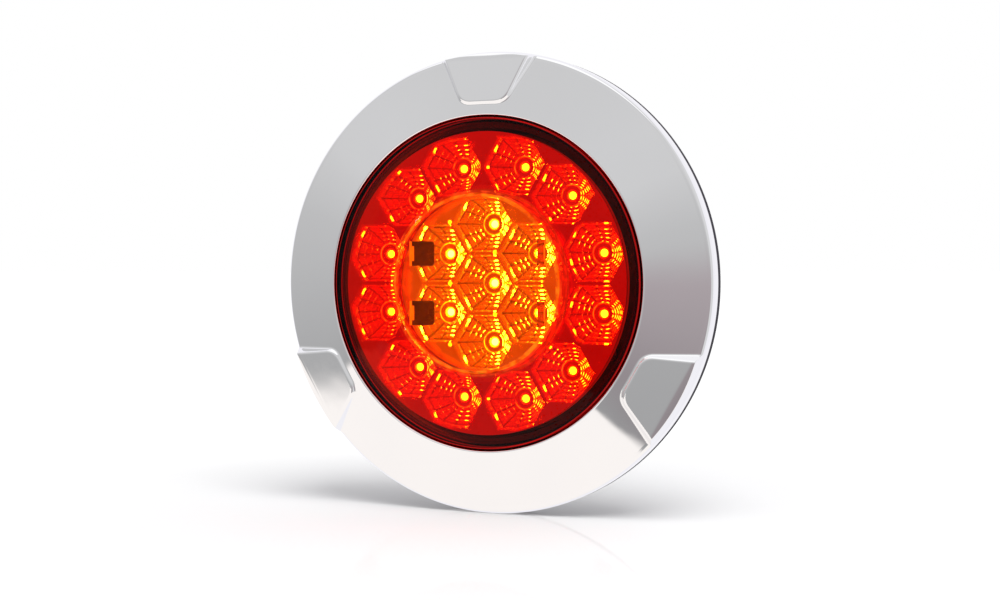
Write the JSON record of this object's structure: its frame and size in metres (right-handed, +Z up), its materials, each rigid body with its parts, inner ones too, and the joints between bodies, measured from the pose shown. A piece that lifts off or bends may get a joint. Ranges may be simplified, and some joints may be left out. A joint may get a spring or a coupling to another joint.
{
  "type": "round LED trailer tail light",
  "caption": "Round LED tail lamp: red lens ring around an amber centre, faceted reflector cups, sealed black housing and a pull-off chrome trim ring.",
  "frame": {"origin": "centre of the mounting plane, where the lamp's axis meets the back of the mounting gasket", "axes": "the lamp faces -Y along its own axis, +Y points back into the panel, +Z is up with one mounting screw at the top, +X is to the right seen from the front"},
  "size_m": [0.164, 0.0469, 0.164],
  "materials": {
    "chrome": "bright chrome plating on moulded ABS",
    "red_lens": "clear red acrylic, polished",
    "amber_lens": "clear amber acrylic, polished",
    "red_reflector": "bright metallised plastic",
    "amber_reflector": "bright metallised plastic",
    "housing_plastic": "black moulded ABS, fine grain",
    "rubber": "black rubber, matt",
    "board": "green solder mask",
    "red_led": "lit red LED lens",
    "amber_led": "lit amber LED lens",
    "screw_steel": "zinc-plated steel",
    "component_black": "black epoxy package",
    "component_grey": "dark ceramic chip",
    "capacitor_can": "plain aluminium can",
    "terminal_plastic": "cream moulded nylon"
  },
  "bodies": {
    "lamp": {"red_lens": "red_lens", "amber_lens": "amber_lens", "lens_seal": "rubber", "mounting_gasket": "rubber", "cable_gland": "rubber", "red_reflector": "red_reflector", "amber_reflector": "amber_reflector", "circuit_board": "board", "led_red_01": "red_led", "led_red_02": "red_led", "led_red_03": "red_led", "led_red_04": "red_led", "led_red_05": "red_led", "led_red_06": "red_led", "led_red_07": "red_led", "led_red_08": "red_led", "led_red_09": "red_led", "led_red_10": "red_led", "led_red_11": "red_led", "led_red_12": "red_led", "led_amber_01": "amber_led", "led_amber_02": "amber_led", "led_amber_03": "amber_led", "led_amber_04": "amber_led", "led_amber_05": "amber_led", "led_amber_06": "amber_led", "led_amber_07": "amber_led", "resistor_1": "component_grey", "resistor_2": "component_grey", "resistor_3": "component_grey", "resistor_4": "component_grey", "resistor_5": "component_grey", "resistor_6": "component_grey", "input_diode_1": "component_black", "input_diode_2": "component_black", "input_diode_3": "component_black", "surge_diode": "component_black", "driver_chip": "component_black", "terminal_block": "terminal_plastic", "capacitor": "capacitor_can", "rear_housing": "housing_plastic", "breather_vent": "housing_plastic", "mounting_screw_1": "screw_steel", "mounting_screw_2": "screw_steel", "mounting_screw_3": "screw_steel", "board_screw_1": "screw_steel", "board_screw_2": "screw_steel", "board_screw_3": "screw_steel"},
    "ring": {"trim_ring": "chrome"}
  },
  "joints": [
    {"name": "ring_pull_off", "type": "slide", "parent": "lamp", "child": "ring", "axis": [0, -1, 0], "range_m": [0, 0.02]}
  ]
}
